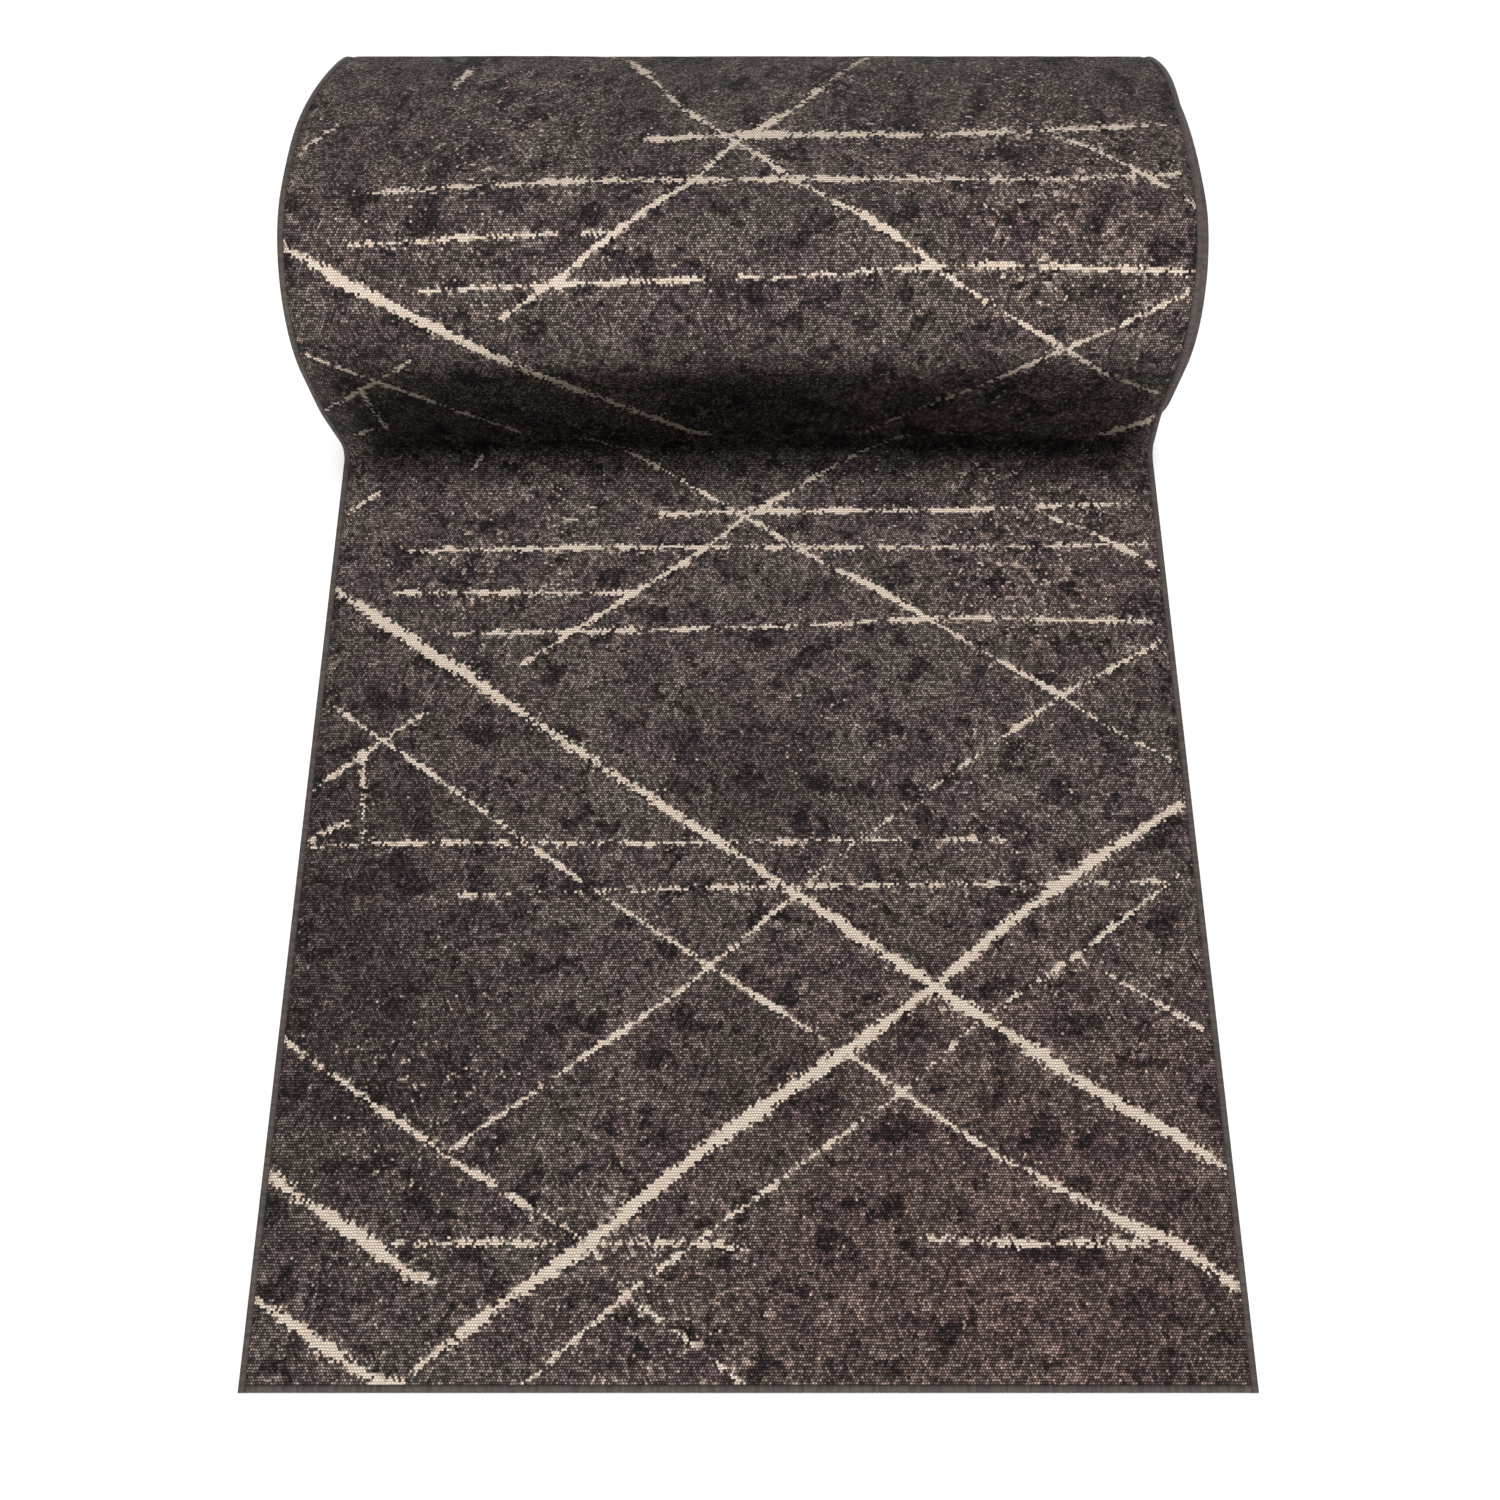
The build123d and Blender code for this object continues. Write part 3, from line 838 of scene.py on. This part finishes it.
class RUG_OT_stage(bpy.types.Operator):
    """Adds the floor, the soft lights and the camera"""

    bl_idname = "rug.stage"
    bl_label = "Studio"

    def execute(self, context):
        scene = context.scene
        lens = bpy.data.cameras.new("camera")
        lens.lens = 35.0
        lens.sensor_width = 36.0
        camera = bpy.data.objects.new("camera", lens)
        scene.collection.objects.link(camera)
        down = math.radians(69.14)
        before_crease = 0.876
        crease_y = CAD_LOW.y + scene.rug_route.flat
        above_pile = 1.398
        camera.location = (0.0015, crease_y - before_crease, above_pile + sizes().pile_top)
        camera.rotation_euler = (math.pi / 2 - down, 0, 0)
        scene.camera = camera
        scene.view_settings.view_transform = "Standard"

        reach = 6.0
        corners = np.array([[-reach, -reach, 0], [reach, -reach, 0], [reach, reach, 0], [-reach, reach, 0]])
        floor = make_object("floor", corners, [[0, 1, 2, 3]])
        floor.data.materials.append(floor_material())

        world = bpy.data.worlds.new("studio")
        scene.world = world
        world.use_nodes = True
        # The room behind the floor is white to the eye, and adds only a little light of its own.
        seen, fill = 1.0, 0.055
        tree = world.node_tree
        direct = add(tree, "ShaderNodeLightPath").outputs["Is Camera Ray"]
        background = tree.nodes["Background"]
        background.inputs[0].default_value = linear("#FFFFFF")
        tree.links.new(level(tree, direct, 0.0, 1.0, fill, seen), background.inputs[1])

        # Two far soft lights: one high in front, one higher still behind. Each is (name, height
        # over the horizon and apparent size in degrees, side, strength).
        lamps = {}
        front_height = 50
        for name, height, spread, side, power in [
            ("front light", front_height, 8, -1, 3.2),
            ("back light", 77, 14, 1, 1.05),
        ]:
            light = bpy.data.lights.new(name, "SUN")
            light.energy = power
            light.angle = math.radians(spread)
            lamp = bpy.data.objects.new(name, light)
            scene.collection.objects.link(lamp)
            lamp.rotation_euler = (-side * math.radians(90 - height), 0, 0)
            lamps[name] = lamp

        # A flag, a black card, shades the crease from the front light alone.
        slope = math.radians(front_height)
        away, aside, card, length = 0.386, 0.041, 0.116, scene.rug_sizes.width - 0.03
        toward = np.array([-math.cos(slope), math.sin(slope)])
        across_beam = np.array([math.sin(slope), math.cos(slope)])
        crease = np.array([crease_y + scene.rug_route.crease, sizes().pile_top])
        middle = crease + toward * away + across_beam * aside
        edges = [middle - across_beam * card / 2, middle + across_beam * card / 2]
        corners = np.array([[x, y, z] for y, z in edges for x in (-length / 2, length / 2)])
        flag = make_object("flag", corners, [[0, 1, 3, 2]])
        flag.data.materials.append(flag_material())
        flag.visible_camera = False
        spared = bpy.data.collections.new("spared by the back light")
        spared.objects.link(flag)
        lamps["back light"].light_linking.blocker_collection = spared
        spared.collection_objects[0].light_linking.link_state = "EXCLUDE"
        return {"FINISHED"}


class RUG_OT_pile(bpy.types.Operator):
    """Makes the loop pile, a thin padded layer with slight real waves"""

    bl_idname = "rug.pile"
    bl_label = "Pile"

    def execute(self, context):
        size = sizes()
        half = size.width / 2 - size.band
        start, end = size.band, size.length - size.band
        seen = 2.26  # distance along the rug where the outer turn goes in under the next
        rows = np.concatenate([steps(start, seen, 8 * MM), steps(seen, end, 20 * MM)[1:]])
        columns = steps(-half, half, 8 * MM)

        def waves(x, s):
            edge = np.minimum(half - np.abs(x), np.minimum(s - start, end - s))
            low = -0.35 * MM * (1 + ripple(x, s, 4, 0.16) / 2) - 0.12 * MM * ripple(x, s, 5, 0.03)
            rounded = -1.4 * MM * np.exp(-edge / (2.5 * MM))
            return np.minimum(low, 0.1 * MM) + rounded

        pile = make_layer("pile_loops", size.primary_top, size.pile_top, rows, columns, waves)
        finish_piece(pile, pile_material(), "pile_yarn", "pile")
        return {"FINISHED"}


class RUG_OT_felt(bpy.types.Operator):
    """Makes the needled felt on the underside"""

    bl_idname = "rug.felt"
    bl_label = "Felt"

    def execute(self, context):
        size = sizes()
        half = size.width / 2 - size.band
        start, end = size.band, size.length - size.band
        rows = steps(start, end, 12 * MM)
        columns = steps(-half, half, 40 * MM)
        felt = make_layer("felt_underlay", 0.0, size.felt_top, rows, columns)
        finish_piece(felt, felt_material(), "felt", "felt_backing")
        return {"FINISHED"}


def wrapped_section():
    """Outline of the serging round a cut edge: (inward from the edge, height, bulge), in mm."""
    return [
        (7.0, 2.45, 0), (7.0, 5.5, 0.3), (6.1, 6.7, 1), (4.0, 6.95, 1), (1.9, 6.6, 1), (0.55, 5.3, 1),
        (0.05, 3.5, 1), (0.5, 1.6, 1), (1.8, 0.3, 0.6), (4.0, 0.05, 0.2), (7.0, 0.05, 0),
        (7.0, 1.15, 0), (1.6, 1.2, 0), (1.6, 2.4, 0),
    ]


def wrap_rows(start, end):
    """Places along an edge, three to each wrap of yarn, and the share of the wrap's bulge there."""
    pitch = sizes().wrap
    wraps = round((end - start) / pitch)
    pitch = (end - start) / wraps
    place = start + pitch * (np.arange(wraps)[:, None] + np.array([0.0, 0.25, 0.75])[None, :])
    bulge = np.tile([0.0, 1.0, 1.0], wraps)
    return np.append(place.ravel(), end), np.append(bulge, 0.0)


def make_serging(name, start, end, to_rug, seed):
    """Yarn wrapped over an edge. to_rug turns (run, inward) in metres into (across, along)."""
    run, bulge = wrap_rows(start, end)
    section = np.array(wrapped_section())
    inward = section[:, 0] * MM
    height = section[:, 1] * MM
    draw = np.random.default_rng(seed)
    loose = draw.uniform(0.6, 1.1, len(run))
    deep = 0.35 * MM
    middle_in, middle_up = 4.0 * MM, 3.5 * MM
    sink = (1 - bulge[:, None] * loose[:, None]) * section[None, :, 2] * deep
    out_in = inward - middle_in
    out_up = height - middle_up
    size = np.hypot(out_in, out_up)
    inward_all = inward[None, :] - sink * (out_in / size)[None, :]
    height_all = height[None, :] - sink * (out_up / size)[None, :]
    slant = 0.8 * MM * np.sin(math.pi * inward / (8 * MM)) * (height > middle_up)
    run_all = np.clip(run[:, None] + slant[None, :], start, end)
    across, along = to_rug(run_all, inward_all)
    points = lay(across.ravel(), along.ravel(), height_all.ravel())
    count, around = run_all.shape
    corner = np.arange(count - 1)[:, None] * around
    here = np.arange(around)[None, :]
    after = (here + 1) % around
    near, far = corner, corner + around
    faces = np.stack([near + here, near + after, far + after, far + here], axis=-1).reshape(-1, 4).tolist()
    faces.append(list(range(around))[::-1])
    faces.append([(count - 1) * around + i for i in range(around)])
    made = make_object(name, points, faces)
    girth = 24 * MM
    set_uv(made, np.tile(np.linspace(0, girth, around), count), run_all.ravel())
    return made


class RUG_OT_serging(bpy.types.Operator):
    """Wraps the four cut edges in yarn"""

    bl_idname = "rug.serging"
    bl_label = "Serging"

    def execute(self, context):
        size = sizes()
        yarn = serging_material()
        half = size.width / 2
        inner = half - size.band
        for name, side in (("serging_left", -1), ("serging_right", 1)):

            def to_long_edge(run, inward, side=side):
                return side * (half - inward), run

            edge = make_serging(name + "_yarn", 0.0, size.length, to_long_edge, 20 + side)
            finish_piece(edge, yarn, "serging_yarn", name)
        for name, side, end in (("serging_front_end", 1, 0.0), ("serging_inner_end", -1, size.length)):

            def to_cut_end(run, inward, side=side, end=end):
                return run, end + side * inward

            edge = make_serging(name + "_yarn", -inner, inner, to_cut_end, 30 + side)
            finish_piece(edge, yarn, "serging_yarn", name)
        return {"FINISHED"}


class RUG_OT_backings(bpy.types.Operator):
    """Makes the latex coat and the woven primary backing"""

    bl_idname = "rug.backings"
    bl_label = "Backings"

    def execute(self, context):
        size = sizes()
        wall = 1.5 * MM
        half = size.width / 2 - wall
        start, end = wall, size.length - wall
        rows = steps(start, end, 14 * MM)
        columns = steps(-half, half, 60 * MM)
        latex_top = size.primary_top - 0.5 * MM
        for name, low, high, material, slot in [
            ("latex_coat", size.felt_top, latex_top, latex_material(), "latex"),
            ("primary_backing", latex_top, size.primary_top, weave_material(), "primary_weave"),
        ]:
            backing = make_layer(name + "_sheet", low, high, rows, columns)
            finish_piece(backing, material, slot, name)
        return {"FINISHED"}


class RUG_PT_panel(bpy.types.Panel):
    """Lists the rug's operators in the order they run"""

    bl_idname = "RUG_PT_panel"
    bl_label = "Runner rug"
    bl_space_type = "VIEW_3D"
    bl_region_type = "UI"
    bl_category = "Rug"

    def draw(self, context):
        for operator in OPERATORS:
            self.layout.operator(operator.bl_idname)
        for settings in (context.scene.rug_sizes, context.scene.rug_route, context.scene.rug_colours):
            box = self.layout.box()
            for name in settings.__annotations__:
                box.prop(settings, name)


OPERATORS = (RUG_OT_stage, RUG_OT_felt, RUG_OT_backings, RUG_OT_pile, RUG_OT_serging)
CLASSES = (RugSizes, RugRoute, RugColours, *OPERATORS, RUG_PT_panel)


def register():
    for part in CLASSES:
        bpy.utils.register_class(part)
    bpy.types.Scene.rug_sizes = bpy.props.PointerProperty(type=RugSizes)
    bpy.types.Scene.rug_route = bpy.props.PointerProperty(type=RugRoute)
    bpy.types.Scene.rug_colours = bpy.props.PointerProperty(type=RugColours)


def unregister():
    for name in ("rug_sizes", "rug_route", "rug_colours"):
        delattr(bpy.types.Scene, name)
    for part in reversed(CLASSES):
        bpy.utils.unregister_class(part)


def main():
    register()
    bpy.ops.rug.stage()
    bpy.ops.rug.felt()
    bpy.ops.rug.backings()
    bpy.ops.rug.pile()
    bpy.ops.rug.serging()


if __name__ == "__main__":
    main()
